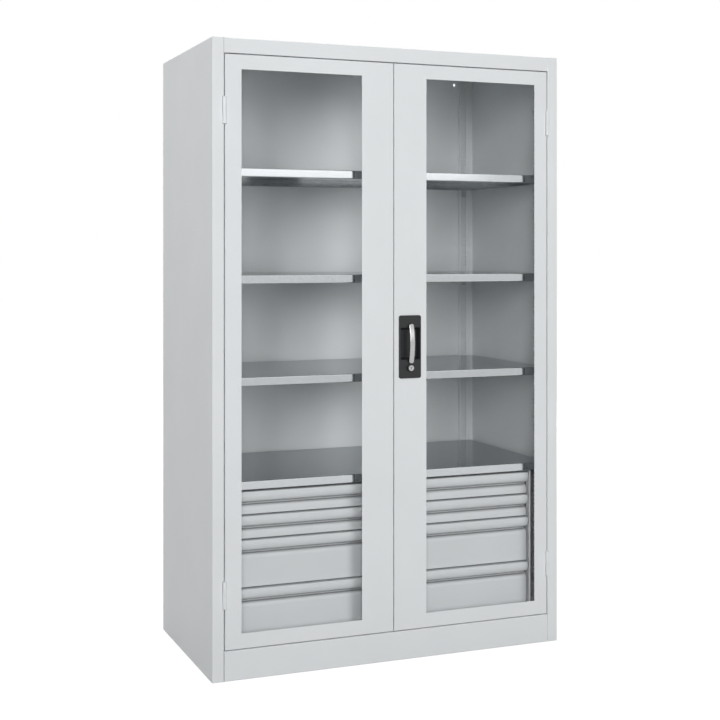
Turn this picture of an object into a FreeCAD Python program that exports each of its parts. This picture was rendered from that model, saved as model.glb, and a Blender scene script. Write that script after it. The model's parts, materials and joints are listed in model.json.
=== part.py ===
"""Heavy-duty steel cabinet with two windowed doors, shelves, a drawer block and a rod lock.

Millimetres, +X right, +Y to the back, +Z up. Pieces are drawn with y = 0 on the front plane
of doors and frame, and moved to the bottom centre of the whole cabinet when they are saved.
"""
import FreeCAD, Part
import math
import os

V = FreeCAD.Vector
X_AXIS = V(1, 0, 0)
Y_AXIS = V(0, 1, 0)
Z_AXIS = V(0, 0, 1)

# Overall size
WIDTH = 1200.0
DEPTH = 600.0
HEIGHT = 1950.0

# Sheet metal
SHEET = 1.2
BEND = 1.4
CUT_PAST = 1.0

# Front frame
STILE = 37.0
TOP_RAIL = 46.0
PLINTH_HEIGHT = 91.5
PLINTH_JOINT = 1.0
PLINTH_TOP_RETURN = 45.0
PLINTH_FOOT = 25.0
STOP_GAP = 4.0
STOP_LIP = 15.0
STOP_CLEAR = 0.5
REAR_FLANGE = 28.5
FLOOR_RISE = 18.0
FLOOR_REAR_FLANGE = 24.0
TOP_REAR_FLANGE = 10.0
BACK_INSET = 1.0
WALL_HOLE_RADIUS = 5.0
WALL_HOLE_INSET = 77.5
WALL_HOLE_DROP = 21.0

# Doors
DOOR_GAP = 3.0
DOOR_DEPTH = 20.0
DOOR_RETURN = 15.0
DOOR_EDGE_RADIUS = 1.8
WINDOW_SIDE_MARGIN = 47.0
WINDOW_LEFT_SHIFT = 5.6
WINDOW_TOP_MARGIN = 45.0
WINDOW_BOTTOM_MARGIN = 46.5
WINDOW_EDGE_RADIUS = 0.8
PANE = 4.0
PANE_OVERLAP = 8.0
SEAL_LIP = 1.5
SEAL_SETBACK = 4.6
SEAL_EDGE = 1.0
RETAINER_LIP = 4.0
RETAINER_FOOT = 11.6
RETAINER_JOINT = 0.6
STUD_RADIUS = 2.0
STUD_CLEAR = 0.2
STUD_LENGTH = 8.0
NUT_FLATS = 7.0
NUT_HEIGHT = 3.2
NUT_SPACING_UPRIGHT = 285.0
NUT_SPACING_ACROSS = 135.0

# Hinges
HINGE_RADIUS = 6.3
HINGE_LENGTH = 82.0
HINGE_BOTTOM_INSET = 167.5
HINGE_TOP_INSET = 171.0
HINGE_PROUD = 1.5
HINGE_PIN_RADIUS = 4.0
HINGE_PIN_CLEAR = 0.05
HINGE_CAP = 3.0
HINGE_SPLIT = 0.4
HINGE_LEAF = 2.5
HINGE_LEAF_GAP = 2.7
HINGE_FRAME_GAP = 10.3
HINGE_NOTCH_CLEAR = 0.8

# Door buffers and magnet catches
BUFFER_RADIUS = 5.0
BUFFER_CLEAR = 0.3
BUFFER_INSET = 440.0
MAGNET_WIDTH = 60.0
MAGNET_HEIGHT = 11.0
MAGNET_OFFSET = 70.0

# Shelf rails and shelves
RAIL_WIDTH = 31.5
RAIL_DEPTH = 13.0
RAIL_SHEET = 1.5
RAIL_PITCH = 15.0
RAIL_SLOT_START = 8.5
RAIL_END = 10.0
RAIL_TOP_GAP = 14.0
RAIL_FRONT_SETBACK = 106.0
SHELF_SLOTS = (93, 71, 50)
SHELF_SETBACK = 40.0
SHELF_EDGE = 26.0
SHELF_RETURN = 15.0
SHELF_SHEET = 1.2
SHELF_CLEAR = 1.3
SHELF_SIDE_CLEAR = 1.8
CLIP_DROP = 10.0
CLIP_WIDTH = 18.0
CLIP_PLATE = 2.0
CLIP_TONGUE = 16.0
CLIP_TAIL = 16.0
CLIP_HOOK_HEIGHT = 4.0
CLIP_HOOK_REACH = 3.5
CLIP_SIDE_CLEAR = 1.0
CLIP_HOOK_CLEAR = 0.5

# Drawer block
DRAWER_FRONT_HEIGHTS = (71.0, 71.0, 146.0, 146.0)
DRAWER_FRONT_GAP = 4.0
DRAWER_BOTTOM_GAP = 6.0
DRAWER_COVER_GAP = 6.8
DRAWER_FRONT_OVERLAP = 3.2
DRAWER_SETBACK = 40.0
GRIP_HEIGHT = 28.0
GRIP_LEAN_FOOT = 35.0
GRIP_LEAN_TOP = 30.0
GRIP_RECESS = 26.0
GRIP_RECESS_DROP = 9.0
GRIP_WELD = 3.5
BEVEL_HEIGHT = 17.5
BEVEL_RUN = 13.0
ARC_RUNS = 4
DRAWER_SHEET = 1.0
TRAY_REAR_GAP = 41.8
TRAY_RIM_DROP = 9.0
TRAY_RISE = 3.0
CARRIER_SIDE_SPACE = 76.8
CARRIER_SETBACK = 50.0
CARRIER_REAR_GAP = 12.0
CARRIER_FRONT_FLANGE = 5.0
CARRIER_FLANGE = 24.0
CARRIER_FLANGE_INSET = 12.0
SLIDE_SPACE = 12.7
SLIDE_HEIGHT = 36.0
SLIDE_SHEET = 1.3
SLIDE_CLEAR = 0.4
SLIDE_FLANGE = 9.5
SLIDE_END_GAP = 10.0
SLIDE_RISE = 5.0

# Handle and lock
HANDLE_WIDTH = 76.0
HANDLE_HEIGHT = 201.0
HANDLE_INSET = 54.0
HANDLE_PROUD = 6.0
HANDLE_CORNER = 7.0
HANDLE_EDGE = 2.0
HANDLE_CENTRE_Z = 998.0
FINGER_RIM = 4.0
FINGER_HEIGHT = 102.5
FINGER_RISE = 10.25
FINGER_DEPTH = 10.0
FINGER_DRAFT = 7.5
FINGER_WALL = 1.2
FINGER_CORNER = 4.0
CUTOUT_CLEAR = 0.3
WELL_GAP = 5.3
PIVOT_RISE = 6.3
SPINDLE_RADIUS = 5.0
SPINDLE_CLEAR = 0.05
JOURNAL_RADIUS = 4.0
TONGUE_WIDTH = 5.8
TONGUE_RADIUS = 2.6
TONGUE_SIDE_CLEAR = 0.2
TONGUE_TIP_CLEAR = 0.3
TONGUE_SWING = 4.4
LEVER_WIDTH = 17.0
LEVER_LENGTH = 125.0
LEVER_TOP_RISE = 5.4
LEVER_STANDOFF = 2.0
LEVER_BOW = 10.0
LEVER_THICKNESS = 7.0
LEVER_EDGE = 3.2
LEVER_END_RADIUS = 8.0
LEVER_PIN_RADIUS = 1.6
LEVER_PIN_STANDOFF = 5.6
LEVER_PIN_LENGTH = 12.0
LEVER_PIN_CLEAR = 0.05
LOCK_DROP = 26.3
LOCK_BOSS = 7.0
LOCK_BOSS_RADIUS = 11.5
LOCK_BOSS_EDGE = 1.0
LOCK_RADIUS = 8.0
LOCK_CLEAR = 0.05
LOCK_FLANGE_LIP = 1.2
LOCK_FLANGE = 1.5
LOCK_ROD_GAP = 1.0
KEY_RECESS = 0.8
KEY_RECESS_RADIUS = 4.2
KEYHOLE_WIDTH = 2.2
KEYHOLE_HEIGHT = 7.0
KEYHOLE_DEPTH = 8.0
CAM_RADIUS = 15.0
CAM_GAP = 0.8
CAM_THICKNESS = 2.6
CAM_PIN_RADIUS = 2.5
CAM_PIN_CIRCLE = 12.0
CAM_PIN_ANGLE = 45.0
CAM_PIN_PAST = 0.2
FORK_CLEAR = 0.5
FORK_WIDTH = 14.0
FORK_HEIGHT = 14.0
FORK_SPINDLE_CLEAR = 0.5
ROD_WIDTH = 10.0
ROD_THICKNESS = 3.0
ROD_GAP = 0.4
ROD_TIP_CLEAR = 1.0
ROD_CLEAR = 0.3
KEEPER_LENGTH = 40.0
KEEPER_DEPTH = 14.0
KEEPER_THICKNESS = 2.0
KEEPER_CLEAR = 0.8
GUIDE_WALL = 4.0
GUIDE_HEIGHT = 14.0
GUIDE_END_INSET = 178.0
GUIDE_NEAR = 230.0
CASE_WIDTH = 58.0
CASE_RISE = 30.0
CASE_SHEET = 1.5
CASE_GAP = 1.0

# Worked-out places
HALF = WIDTH / 2
INSIDE = HALF - SHEET
OPENING_HALF = HALF - STILE
OPENING_TOP = HEIGHT - TOP_RAIL
STOP_DEPTH = DOOR_DEPTH + STOP_GAP
LIP_HALF = OPENING_HALF - STOP_LIP
LIP_JOINT = LIP_HALF - STOP_CLEAR
BACK_INNER = DEPTH - SHEET
FLOOR_TOP = PLINTH_HEIGHT + FLOOR_RISE
DOOR_INNER_X = DOOR_GAP / 2
DOOR_OUTER_X = OPENING_HALF - DOOR_GAP
DOOR_BOTTOM = PLINTH_HEIGHT + DOOR_GAP
DOOR_TOP = OPENING_TOP - DOOR_GAP
SEAL_DEPTH = 2 * SEAL_LIP + PANE
SEAL_WIDTH = PANE_OVERLAP + SEAL_EDGE
RETAINER_WIDTH = SEAL_WIDTH + SHEET + RETAINER_FOOT
FINGER_WIDTH = HANDLE_WIDTH - 2 * FINGER_RIM
DRAFT_SLOPE = FINGER_DRAFT / (HANDLE_PROUD + FINGER_DEPTH)
SKIN_DRAFT = DRAFT_SLOPE * HANDLE_PROUD
WELL_RIM = FINGER_WALL + CUTOUT_CLEAR - SKIN_DRAFT
WELL_HALF = FINGER_WIDTH / 2 + WELL_RIM
WINDOW_CENTRE_MARGIN = HANDLE_INSET + WELL_HALF + WELL_GAP + RETAINER_WIDTH
WINDOW_X = (DOOR_INNER_X + WINDOW_CENTRE_MARGIN, DOOR_OUTER_X - WINDOW_SIDE_MARGIN)
WINDOW_Z = (DOOR_BOTTOM + WINDOW_BOTTOM_MARGIN, DOOR_TOP - WINDOW_TOP_MARGIN)
PANE_FRONT = SHEET + SEAL_LIP
SEAL_REAR = SHEET + SEAL_DEPTH
STUD_OFFSET = SEAL_WIDTH + SHEET + RETAINER_FOOT / 2
HINGE_X = OPENING_HALF - DOOR_GAP / 2
HINGE_HEIGHTS = (DOOR_BOTTOM + HINGE_BOTTOM_INSET, DOOR_TOP - HINGE_TOP_INSET)
DOOR_LEAF = HINGE_X - WINDOW_X[1] - RETAINER_WIDTH - HINGE_LEAF_GAP
FRAME_LEAF = INSIDE - HINGE_X - HINGE_FRAME_GAP
BUFFER_HEIGHTS = (PLINTH_HEIGHT + BUFFER_INSET, OPENING_TOP - BUFFER_INSET)
RAIL_REAR_X = (HALF - REAR_FLANGE - RAIL_WIDTH, HALF - REAR_FLANGE)
RAIL_BOTTOM = FLOOR_TOP + RAIL_END
RAIL_TOP = HEIGHT - SHEET - RAIL_TOP_GAP
RAIL_FIRST_SLOT = RAIL_BOTTOM + RAIL_SLOT_START
RAIL_SLOT_WIDTH = CLIP_WIDTH + 2 * CLIP_SIDE_CLEAR
RAIL_SLOT_HEIGHT = CLIP_HOOK_HEIGHT + 2 * CLIP_HOOK_CLEAR
RAIL_REAR_FACE = BACK_INNER - RAIL_DEPTH
RAIL_SIDE_FACE = INSIDE - RAIL_DEPTH
SHELF_REAR = RAIL_REAR_FACE - SHELF_CLEAR
SHELF_HALF = RAIL_SIDE_FACE - SHELF_SIDE_CLEAR
COVER_BOTTOM = (FLOOR_TOP + DRAWER_BOTTOM_GAP + sum(DRAWER_FRONT_HEIGHTS)
                + DRAWER_FRONT_GAP * (len(DRAWER_FRONT_HEIGHTS) - 1) + DRAWER_COVER_GAP)
CARRIER_HALF_GAP = INSIDE - CARRIER_SIDE_SPACE
TRAY_HALF = CARRIER_HALF_GAP - SLIDE_SPACE
DRAWER_FRONT_HALF = TRAY_HALF + DRAWER_FRONT_OVERLAP
RECESS_DEPTH = DRAWER_SETBACK + GRIP_RECESS
TRAY_FRONT = RECESS_DEPTH + DRAWER_SHEET
TRAY_REAR = BACK_INNER - TRAY_REAR_GAP
SLIDE_LENGTH = TRAY_REAR - TRAY_FRONT - SLIDE_END_GAP
HANDLE_CENTRE_X = DOOR_INNER_X + HANDLE_INSET
FINGER_BOTTOM = HANDLE_CENTRE_Z + FINGER_RISE - FINGER_HEIGHT / 2
FINGER_TOP = FINGER_BOTTOM + FINGER_HEIGHT
PIVOT_Z = FINGER_TOP + PIVOT_RISE
LOCK_Z = FINGER_BOTTOM - LOCK_DROP
LOCK_SEAT = -HANDLE_PROUD - LOCK_BOSS
LEVER_TOP = PIVOT_Z + LEVER_TOP_RISE
LEVER_BOTTOM = LEVER_TOP - LEVER_LENGTH
LEVER_FACE = HANDLE_PROUD + LEVER_STANDOFF
LEVER_REACH = LEVER_FACE + LEVER_BOW + LEVER_THICKNESS
LEVER_PIN_Y = -(HANDLE_PROUD + LEVER_PIN_STANDOFF)
FRONT_Y = (LEVER_REACH - DEPTH) / 2
CAM_FRONT = FINGER_DEPTH + FINGER_WALL + CAM_GAP
ROD_FRONT = CAM_FRONT + CAM_THICKNESS + ROD_GAP
ROD_REAR = ROD_FRONT + ROD_THICKNESS
LOCK_REAR = ROD_FRONT - LOCK_ROD_GAP
CASE_REAR = ROD_REAR + CASE_GAP
CASE_BOTTOM = FINGER_TOP + WELL_RIM + CASE_GAP
PIN_SIDE = CAM_PIN_CIRCLE * math.cos(math.radians(CAM_PIN_ANGLE))
PIN_RISE = CAM_PIN_CIRCLE * math.sin(math.radians(CAM_PIN_ANGLE))
FORK_INNER = JOURNAL_RADIUS + FORK_SPINDLE_CLEAR
FORK_OUTER = FORK_INNER + FORK_WIDTH
UPPER_ROD_X = HANDLE_CENTRE_X - FORK_OUTER + ROD_WIDTH / 2
LOWER_ROD_X = HANDLE_CENTRE_X + FORK_OUTER - ROD_WIDTH / 2


def box(x, y, z):
    """A block between two limits along each axis."""
    return Part.makeBox(x[1] - x[0], y[1] - y[0], z[1] - z[0], V(x[0], y[0], z[0]))


def cylinder(radius, start, length, axis):
    return Part.makeCylinder(radius, length, start, axis)


def joined(shapes):
    """Weld shapes into one solid."""
    return shapes[0].fuse(shapes[1:]).removeSplitter().Solids[0]


def without(shape, tools):
    return shape.cut(tools).Solids[0]


def mirrored(shape):
    """The same piece on the other side of the cabinet."""
    return shape.mirror(V(0, 0, 0), X_AXIS)


def both_sides(shape):
    return [mirrored(shape), shape]


def save(name, *solids):
    """Write one node, moved from the front plane to the cabinet's own origin."""
    shape = solids[0].copy() if len(solids) == 1 else Part.makeCompound(list(solids))
    shape.translate(V(0, FRONT_Y, 0))
    shape.exportStep("parts/%s.step" % name)


def plan(u, v):
    """A point of a profile seen from above."""
    return V(u, v, 0)


def section(u, v):
    """A point of a profile seen from the right, u to the back and v up."""
    return V(0, u, v)


def directions(points):
    """Unit direction of each run of an outline."""
    runs = []
    for (u0, v0), (u1, v1) in zip(points, points[1:]):
        length = math.hypot(u1 - u0, v1 - v0)
        runs.append(((u1 - u0) / length, (v1 - v0) / length))
    return runs


def shifted(points, distance):
    """The outline moved to its right by a distance, corners kept sharp."""
    runs = directions(points)
    moved = []
    for index, (u, v) in enumerate(points):
        before = runs[max(index - 1, 0)]
        after = runs[min(index, len(runs) - 1)]
        share = distance / (1 + before[0] * after[0] + before[1] * after[1])
        moved.append((u + (before[1] + after[1]) * share, v - (before[0] + after[0]) * share))
    return moved


def rounded(points, radii, place):
    """Edges along an outline whose corners are arcs."""
    runs = directions(points)
    edges = []
    start = points[0]
    for index, radius in enumerate(radii):
        u, v = points[index + 1]
        before, after = runs[index], runs[index + 1]
        half_turn = math.acos(before[0] * after[0] + before[1] * after[1]) / 2
        tangent = radius * math.tan(half_turn)
        sagitta = radius / math.cos(half_turn) - radius
        across = math.hypot(after[0] - before[0], after[1] - before[1])
        enter = (u - before[0] * tangent, v - before[1] * tangent)
        leave = (u + after[0] * tangent, v + after[1] * tangent)
        inward = ((after[0] - before[0]) / across, (after[1] - before[1]) / across)
        middle = (u + inward[0] * sagitta, v + inward[1] * sagitta)
        edges.append(Part.makeLine(place(*start), place(*enter)))
        edges.append(Part.Arc(place(*enter), place(*middle), place(*leave)).toShape())
        start = leave
    edges.append(Part.makeLine(place(*start), place(*points[-1])))
    return edges


def folded(points, sheet, place, length):
    """Sheet bent along an outline, its thickness on the outline's right, extruded by a vector."""
    far_side = shifted(points, sheet)
    runs = directions(points)
    near_radii = []
    far_radii = []
    for before, after in zip(runs, runs[1:]):
        turns_right = before[0] * after[1] - before[1] * after[0] < 0
        near_radii.append(BEND + sheet if turns_right else BEND)
        far_radii.append(BEND if turns_right else BEND + sheet)
    edges = rounded(points, near_radii, place)
    edges.append(Part.makeLine(place(*points[-1]), place(*far_side[-1])))
    edges += rounded(far_side[::-1], far_radii[::-1], place)
    edges.append(Part.makeLine(place(*far_side[0]), place(*points[0])))
    return Part.Face(Part.Wire(edges)).extrude(length)


def rounded_block(x, y, z, corner):
    """A block with rounded corners when it is seen from the front."""
    block = box(x, y, z)
    uprights = [edge for edge in block.Edges if abs(edge.tangentAt(edge.FirstParameter).y) > 0.9]
    return block.makeFillet(corner, uprights)


def edges_at_depth(shape, depth):
    """Edges that lie wholly at one distance behind the front plane."""
    return [edge for edge in shape.Edges
            if abs(edge.BoundBox.YMin - depth) < 1e-6 and abs(edge.BoundBox.YMax - depth) < 1e-6]


def hinge_notch(first, last):
    """Room for a barrel at each hinge of the right side, and for its leaf between two heights."""
    tools = []
    for height in HINGE_HEIGHTS:
        low = height - HINGE_LENGTH / 2 - HINGE_NOTCH_CLEAR
        axis_point = V(HINGE_X, -HINGE_PROUD, low)
        tools.append(cylinder(HINGE_RADIUS + HINGE_NOTCH_CLEAR, axis_point,
                              HINGE_LENGTH + 2 * HINGE_NOTCH_CLEAR, Z_AXIS))
        tools.append(box((HINGE_X - HINGE_RADIUS, HINGE_X + HINGE_RADIUS),
                         (SHEET, SHEET + HINGE_LEAF + HINGE_NOTCH_CLEAR),
                         (height + first - HINGE_NOTCH_CLEAR, height + last + HINGE_NOTCH_CLEAR)))
    return tools


def right_side_panel():
    outline = [(-LIP_HALF, STOP_DEPTH), (-OPENING_HALF, STOP_DEPTH), (-OPENING_HALF, 0), (-HALF, 0),
               (-HALF, BACK_INNER), (REAR_FLANGE - HALF, BACK_INNER)]
    panel = mirrored(folded(outline, SHEET, plan, V(0, 0, HEIGHT - SHEET)))
    return without(panel, hinge_notch(-HINGE_LENGTH / 2, 0))


def back_panel():
    panel = box((BACK_INSET - HALF, HALF - BACK_INSET), (BACK_INNER, DEPTH), (0, HEIGHT - SHEET))
    start = V(HALF - WALL_HOLE_INSET, BACK_INNER - CUT_PAST, HEIGHT - WALL_HOLE_DROP)
    hole = cylinder(WALL_HOLE_RADIUS, start, SHEET + 2 * CUT_PAST, Y_AXIS)
    return without(panel, both_sides(hole))


def rod_slot(centre_x, z, clearance):
    """The hole that a lock rod passes through between two heights."""
    half = ROD_WIDTH / 2 + clearance
    return box((centre_x - half, centre_x + half), (ROD_FRONT - clearance, ROD_REAR + clearance), z)


def top_panel():
    rail = [(0, OPENING_TOP), (0, HEIGHT), (DEPTH, HEIGHT)]
    stop = [(STOP_DEPTH, OPENING_TOP - STOP_LIP), (STOP_DEPTH, OPENING_TOP)]
    middle = folded(stop + rail, SHEET, section, V(2 * LIP_JOINT, 0, 0))
    middle.translate(V(-LIP_JOINT, 0, 0))
    shoulder = folded(rail, SHEET, section, V(OPENING_HALF - LIP_JOINT, 0, 0))
    shoulder.translate(V(LIP_JOINT, 0, 0))
    wing = box((OPENING_HALF, HALF), (0, DEPTH), (HEIGHT - SHEET, HEIGHT))
    flange = box((REAR_FLANGE - HALF, HALF - REAR_FLANGE), (BACK_INNER - SHEET, BACK_INNER),
                 (HEIGHT - SHEET - TOP_REAR_FLANGE, HEIGHT - SHEET))
    panel = joined([middle, flange] + both_sides(shoulder) + both_sides(wing))
    return without(panel, [rod_slot(UPPER_ROD_X, (OPENING_TOP - CUT_PAST, OPENING_TOP + SHEET + CUT_PAST),
                                    KEEPER_CLEAR)])


def floor_panel():
    rear = BACK_INNER - SHEET - BEND
    outline = [(STOP_DEPTH, PLINTH_HEIGHT), (STOP_DEPTH, FLOOR_TOP), (rear, FLOOR_TOP),
               (rear, FLOOR_TOP - FLOOR_REAR_FLANGE)]
    sheet = folded(outline, SHEET, section, V(2 * INSIDE, 0, 0))
    sheet.translate(V(-INSIDE, 0, 0))
    corner = box((LIP_JOINT, HALF), (0, STOP_DEPTH + SHEET + STOP_CLEAR), (0, FLOOR_TOP + CUT_PAST))
    return without(sheet, both_sides(corner))


def plinth():
    half = OPENING_HALF - PLINTH_JOINT
    outline = [(PLINTH_FOOT, 0), (0, 0), (0, PLINTH_HEIGHT), (PLINTH_TOP_RETURN, PLINTH_HEIGHT)]
    channel = folded(outline, SHEET, section, V(2 * half, 0, 0))
    channel.translate(V(-half, 0, 0))
    lip = box((LIP_JOINT, HALF), (STOP_DEPTH - STOP_CLEAR, DEPTH), (-CUT_PAST, HEIGHT))
    slot = rod_slot(LOWER_ROD_X, (PLINTH_HEIGHT - SHEET - CUT_PAST, PLINTH_HEIGHT + CUT_PAST), KEEPER_CLEAR)
    return without(channel, both_sides(lip) + [slot])


def rear_rail():
    """Slotted channel on the back panel, right side, open to the back."""
    left, right = RAIL_REAR_X
    outline = [(left, BACK_INNER), (left, RAIL_REAR_FACE), (right, RAIL_REAR_FACE), (right, BACK_INNER)]
    channel = folded(outline[::-1], RAIL_SHEET, plan, V(0, 0, RAIL_TOP - RAIL_BOTTOM))
    channel.translate(V(0, 0, RAIL_BOTTOM))
    centre = (left + right) / 2
    count = int((RAIL_TOP - RAIL_END - RAIL_FIRST_SLOT) / RAIL_PITCH) + 1
    slots = []
    for index in range(count):
        z = RAIL_FIRST_SLOT + index * RAIL_PITCH
        slots.append(box((centre - RAIL_SLOT_WIDTH / 2, centre + RAIL_SLOT_WIDTH / 2),
                         (RAIL_REAR_FACE - CUT_PAST, RAIL_REAR_FACE + RAIL_SHEET + CUT_PAST),
                         (z - RAIL_SLOT_HEIGHT / 2, z + RAIL_SLOT_HEIGHT / 2)))
    return without(channel, slots)


def to_front_rail(shape):
    """Turn what belongs at the right rear rail so that it belongs at the right front rail."""
    turned = shape.copy()
    centre = V(sum(RAIL_REAR_X) / 2, BACK_INNER, 0)
    turned.rotate(centre, Z_AXIS, -90)
    turned.translate(V(INSIDE, RAIL_FRONT_SETBACK + RAIL_WIDTH / 2, 0) - centre)
    return turned


def shelf_top(slot):
    return RAIL_FIRST_SLOT + slot * RAIL_PITCH + CLIP_DROP + SHELF_EDGE


def shelf(top):
    low = top - SHELF_EDGE
    outline = [(SHELF_SETBACK + SHELF_RETURN, low), (SHELF_SETBACK, low), (SHELF_SETBACK, top),
               (SHELF_REAR, top), (SHELF_REAR, low), (SHELF_REAR - SHELF_RETURN, low)]
    pan = folded(outline, SHELF_SHEET, section, V(2 * SHELF_HALF, 0, 0))
    pan.translate(V(-SHELF_HALF, 0, 0))
    edge = box((SHELF_HALF - SHELF_SHEET, SHELF_HALF),
               (SHELF_SETBACK + SHELF_SHEET / 2, SHELF_REAR - SHELF_SHEET / 2), (low, top - SHELF_SHEET / 2))
    return joined([pan] + both_sides(edge))


def shelf_clip(slot):
    """Clip in one slot of the right rear rail, its tongue under the shelf."""
    centre = sum(RAIL_REAR_X) / 2
    hook_z = RAIL_FIRST_SLOT + slot * RAIL_PITCH
    top = hook_z + CLIP_DROP
    half = CLIP_WIDTH / 2
    x = (centre - half, centre + half)
    outline = [(RAIL_REAR_FACE - CLIP_TONGUE, top), (RAIL_REAR_FACE, top),
               (RAIL_REAR_FACE, hook_z - CLIP_TAIL)]
    angle = folded(outline, CLIP_PLATE, section, V(CLIP_WIDTH, 0, 0))
    angle.translate(V(x[0], 0, 0))
    hook = box(x, (RAIL_REAR_FACE - CLIP_PLATE / 2, RAIL_REAR_FACE + CLIP_HOOK_REACH),
               (hook_z - CLIP_HOOK_HEIGHT / 2, hook_z + CLIP_HOOK_HEIGHT / 2))
    return joined([angle, hook])


def shelf_clips():
    clips = []
    for slot in SHELF_SLOTS:
        clip = shelf_clip(slot)
        clips += both_sides(clip) + both_sides(to_front_rail(clip))
    return clips


def right_carrier():
    """Upright sheet that holds the drawer slides and the lowest shelf."""
    rear = BACK_INNER - CARRIER_REAR_GAP
    wall = CARRIER_HALF_GAP
    outline = [(wall, rear), (wall, CARRIER_SETBACK), (wall + CARRIER_FRONT_FLANGE, CARRIER_SETBACK)]
    web = folded(outline[::-1], SHEET, plan, V(0, 0, COVER_BOTTOM - FLOOR_TOP))
    web.translate(V(0, 0, FLOOR_TOP))
    flange_y = (CARRIER_SETBACK + CARRIER_FLANGE_INSET, rear - CARRIER_FLANGE_INSET)
    flange_x = (wall + SHEET / 2, wall + CARRIER_FLANGE)
    foot = box(flange_x, flange_y, (FLOOR_TOP, FLOOR_TOP + SHEET))
    head = box(flange_x, flange_y, (COVER_BOTTOM - SHEET, COVER_BOTTOM))
    return joined([web, foot, head])


def drawer_tops():
    """Height of each front's upper edge, from the top drawer down."""
    top = COVER_BOTTOM - DRAWER_COVER_GAP
    tops = []
    for height in DRAWER_FRONT_HEIGHTS:
        tops.append(top)
        top -= height + DRAWER_FRONT_GAP
    return tops


def arc_up(foremost, z, radius, first_lean, last_lean):
    """Points up an arc, by its foremost depth and the height there; it leans back by these degrees."""
    points = []
    for step in range(ARC_RUNS + 1):
        lean = math.radians(first_lean + (last_lean - first_lean) * step / ARC_RUNS)
        points.append((foremost + radius * (1 - math.cos(lean)), z + radius * math.sin(lean)))
    return points


def drawer_front(top, height):
    """Folded front: rolled grip strip, finger recess welded to the tray, curved bevel and flat face."""
    foot = math.sin(math.radians(GRIP_LEAN_FOOT))
    grip_radius = GRIP_HEIGHT / (foot + math.sin(math.radians(GRIP_LEAN_TOP)))
    grip_middle = top - GRIP_HEIGHT + grip_radius * foot
    grip = arc_up(DRAWER_SETBACK, grip_middle, grip_radius, -GRIP_LEAN_FOOT, GRIP_LEAN_TOP)
    recess_z = top - GRIP_HEIGHT - GRIP_RECESS_DROP
    bevel_top = recess_z - GRIP_WELD
    bevel_turn = 2 * math.atan2(BEVEL_RUN, BEVEL_HEIGHT)
    face = RECESS_DEPTH - BEVEL_RUN
    bevel_radius = BEVEL_HEIGHT / math.sin(bevel_turn)
    bevel = arc_up(face, bevel_top - BEVEL_HEIGHT, bevel_radius, 0, math.degrees(bevel_turn))
    outline = [(TRAY_FRONT, top - height), (face, top - height), *bevel, (RECESS_DEPTH, recess_z), *grip,
               (TRAY_FRONT, top)]
    front = folded(outline, DRAWER_SHEET, section, V(2 * DRAWER_FRONT_HALF, 0, 0))
    front.translate(V(-DRAWER_FRONT_HALF, 0, 0))
    return front


def drawer_tray(top, height):
    """Welded tray: bottom sheet, two sides, rear and inner front."""
    low = top - height + TRAY_RISE
    wall_z = (low + DRAWER_SHEET, top - TRAY_RIM_DROP)
    inner = TRAY_HALF - DRAWER_SHEET
    bottom = box((-TRAY_HALF, TRAY_HALF), (TRAY_FRONT, TRAY_REAR), (low, low + DRAWER_SHEET))
    side = box((inner, TRAY_HALF), (TRAY_FRONT, TRAY_REAR), wall_z)
    front = box((-inner, inner), (TRAY_FRONT, TRAY_FRONT + DRAWER_SHEET), wall_z)
    rear = box((-inner, inner), (TRAY_REAR - DRAWER_SHEET, TRAY_REAR), wall_z)
    return [bottom, front, rear] + both_sides(side)


def slide_channel(web_x, flange_x, half_height, middle_z):
    """C-shaped slide member of the right side; its web and the ends of its flanges by their x."""
    toward = math.copysign(SLIDE_SHEET, flange_x - web_x)
    front = TRAY_FRONT
    outer = box(sorted((web_x, flange_x)), (front, front + SLIDE_LENGTH),
                (middle_z - half_height, middle_z + half_height))
    hollow = box(sorted((web_x + toward, flange_x + toward)),
                 (front - CUT_PAST, front + SLIDE_LENGTH + CUT_PAST),
                 (middle_z - half_height + SLIDE_SHEET, middle_z + half_height - SLIDE_SHEET))
    return without(outer, [hollow])


def slide_members(top, height):
    """Outer rail, middle rail and runner of one right-hand slide."""
    half = SLIDE_HEIGHT / 2
    middle_z = top - height + TRAY_RISE + SLIDE_RISE + half
    step = SLIDE_SHEET + SLIDE_CLEAR
    outer_web = CARRIER_HALF_GAP
    middle_web = outer_web - step
    runner_end = middle_web - step
    outer = slide_channel(outer_web, outer_web - SLIDE_FLANGE, half, middle_z)
    middle = slide_channel(middle_web, TRAY_HALF + step, half - step, middle_z)
    runner = slide_channel(TRAY_HALF, runner_end, half - 2 * step, middle_z)
    return outer, middle, runner


def knuckle(height, low, high, inward):
    """One half of a right-hand hinge with its leaf; low and high count from the hinge's middle."""
    barrel = cylinder(HINGE_RADIUS, V(HINGE_X, -HINGE_PROUD, height + low), high - low, Z_AXIS)
    reach = -DOOR_LEAF if inward else FRAME_LEAF
    leaf = box(sorted((HINGE_X, HINGE_X + reach)), (SHEET, SHEET + HINGE_LEAF), (height + low, height + high))
    pin_half = HINGE_LENGTH / 2 - HINGE_CAP
    radius = HINGE_PIN_RADIUS + (HINGE_PIN_CLEAR if inward else 0)
    bore = cylinder(radius, V(HINGE_X, -HINGE_PROUD, height - pin_half), 2 * pin_half, Z_AXIS)
    return without(joined([barrel, leaf]), [bore])


def hinge_pin(height):
    """Pin held in the frame half; it ends just short of the door half's cap."""
    pin_half = HINGE_LENGTH / 2 - HINGE_CAP
    start = V(HINGE_X, -HINGE_PROUD, height - pin_half)
    return cylinder(HINGE_PIN_RADIUS, start, 2 * pin_half - HINGE_SPLIT, Z_AXIS)


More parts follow.
